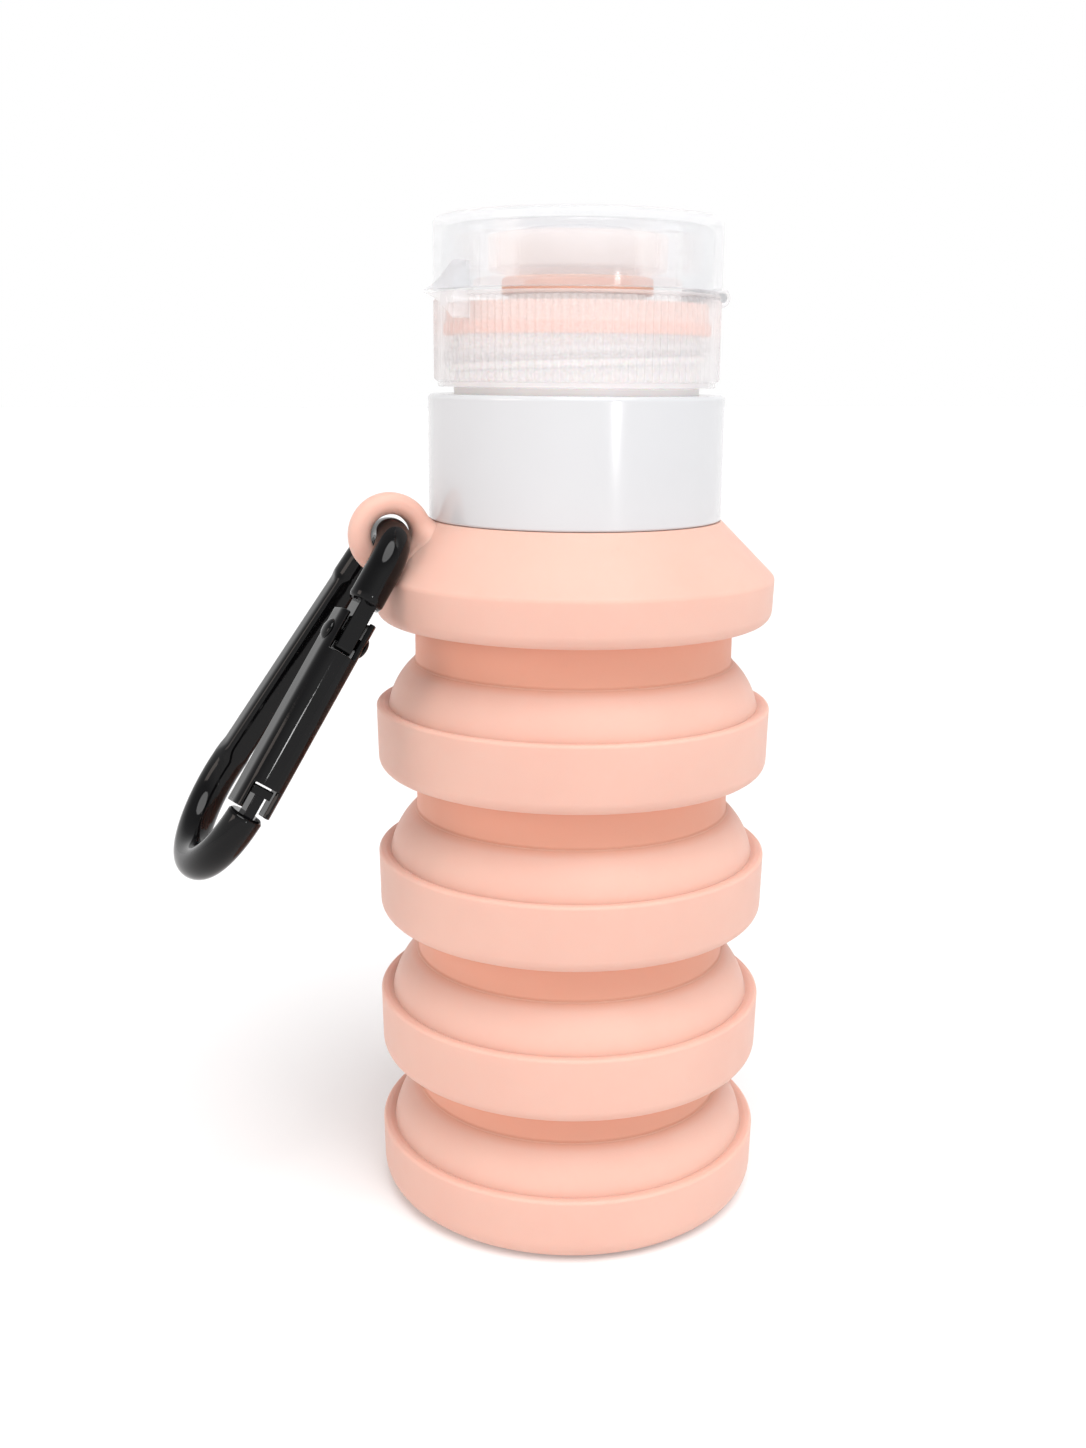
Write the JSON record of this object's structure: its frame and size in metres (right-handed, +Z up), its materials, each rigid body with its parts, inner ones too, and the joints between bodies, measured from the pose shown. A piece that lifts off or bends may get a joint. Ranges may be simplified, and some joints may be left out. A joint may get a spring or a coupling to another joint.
{
  "type": "folding water bottle",
  "caption": "Folding silicone water bottle with thick bands and thin fold walls, hard collar, screw cap with flip cover and spout, and a carabiner on a side loop.",
  "frame": {"origin": "centre of the flat underside, on the bottle's axis", "axes": "+Z up along the bottle's axis to the cap; the carabiner loop stands towards -X"},
  "size_m": [0.1095, 0.0722, 0.1792],
  "materials": {
    "silicone": "matte",
    "white_plastic": "gloss",
    "neck_plastic": "satin",
    "frosted_plastic": "satin",
    "clear_plastic": "polished",
    "seal_silicone": "matte",
    "black_enamel": "gloss",
    "steel": "satin"
  },
  "bodies": {
    "base": {"base_cup": "silicone", "fold_wall_1": "silicone"},
    "band_2": {"ring_2": "silicone", "fold_wall_2": "silicone"},
    "band_3": {"ring_3": "silicone", "fold_wall_3": "silicone"},
    "band_4": {"ring_4": "silicone", "fold_wall_4": "silicone"},
    "shoulder": {"shoulder": "silicone", "hang_loop": "silicone", "collar": "white_plastic", "threaded_neck": "neck_plastic"},
    "gasket": {"cap_gasket": "seal_silicone"},
    "cap": {"screw_cap": "frosted_plastic", "spout": "clear_plastic", "spout_seal": "seal_silicone", "hinge_pin": "steel"},
    "cover": {"flip_cover": "clear_plastic"},
    "clip": {"carabiner_frame": "black_enamel"},
    "gate": {"carabiner_gate": "black_enamel", "gate_rivet": "black_enamel", "gate_spring": "steel"}
  },
  "joints": [
    {"name": "fold_1", "type": "slide", "parent": "base", "child": "band_2", "axis": [0, 0, 1], "range_m": [-0.0142, 0], "deforming": ["fold_wall_1"]},
    {"name": "fold_2", "type": "slide", "parent": "band_2", "child": "band_3", "axis": [0, 0, 1], "range_m": [-0.015, 0], "deforming": ["fold_wall_2"]},
    {"name": "fold_3", "type": "slide", "parent": "band_3", "child": "band_4", "axis": [0, 0, 1], "range_m": [-0.015, 0], "deforming": ["fold_wall_3"]},
    {"name": "fold_4", "type": "slide", "parent": "band_4", "child": "shoulder", "axis": [0, 0, 1], "range_m": [-0.015, 0], "deforming": ["fold_wall_4"]},
    {"name": "cap_lift", "type": "slide", "parent": "shoulder", "child": "gasket", "axis": [0, 0, 1], "range_m": [0, 0.013]},
    {"name": "cap_turn", "type": "hinge", "parent": "gasket", "child": "cap", "pos_m": [0, 0, 0.159], "axis": [0, 0, 1], "range_deg": [0, 1170]},
    {"name": "cover_flip", "type": "hinge", "parent": "cap", "child": "cover", "pos_m": [0.02634, 0.0037, 0.1667], "axis": [-0.1392, 0.9903, 0], "range_deg": [0, 150]},
    {"name": "clip_swing", "type": "hinge", "parent": "shoulder", "child": "clip", "pos_m": [-0.03431, 0, 0.126], "axis": [0, 1, 0], "range_deg": [0, 145]},
    {"name": "gate_open", "type": "hinge", "parent": "clip", "child": "gate", "pos_m": [-0.04485, -0.00925, 0.11001], "axis": [0.8348, 0, -0.5505], "range_deg": [0, 25], "stiffness_Nm_per_rad": 0.08, "springref_deg": -28.65}
  ],
  "couplings": [
    {"joint": "cap_lift", "follows": "cap_turn", "m_per_rad": 0.00063662}
  ]
}
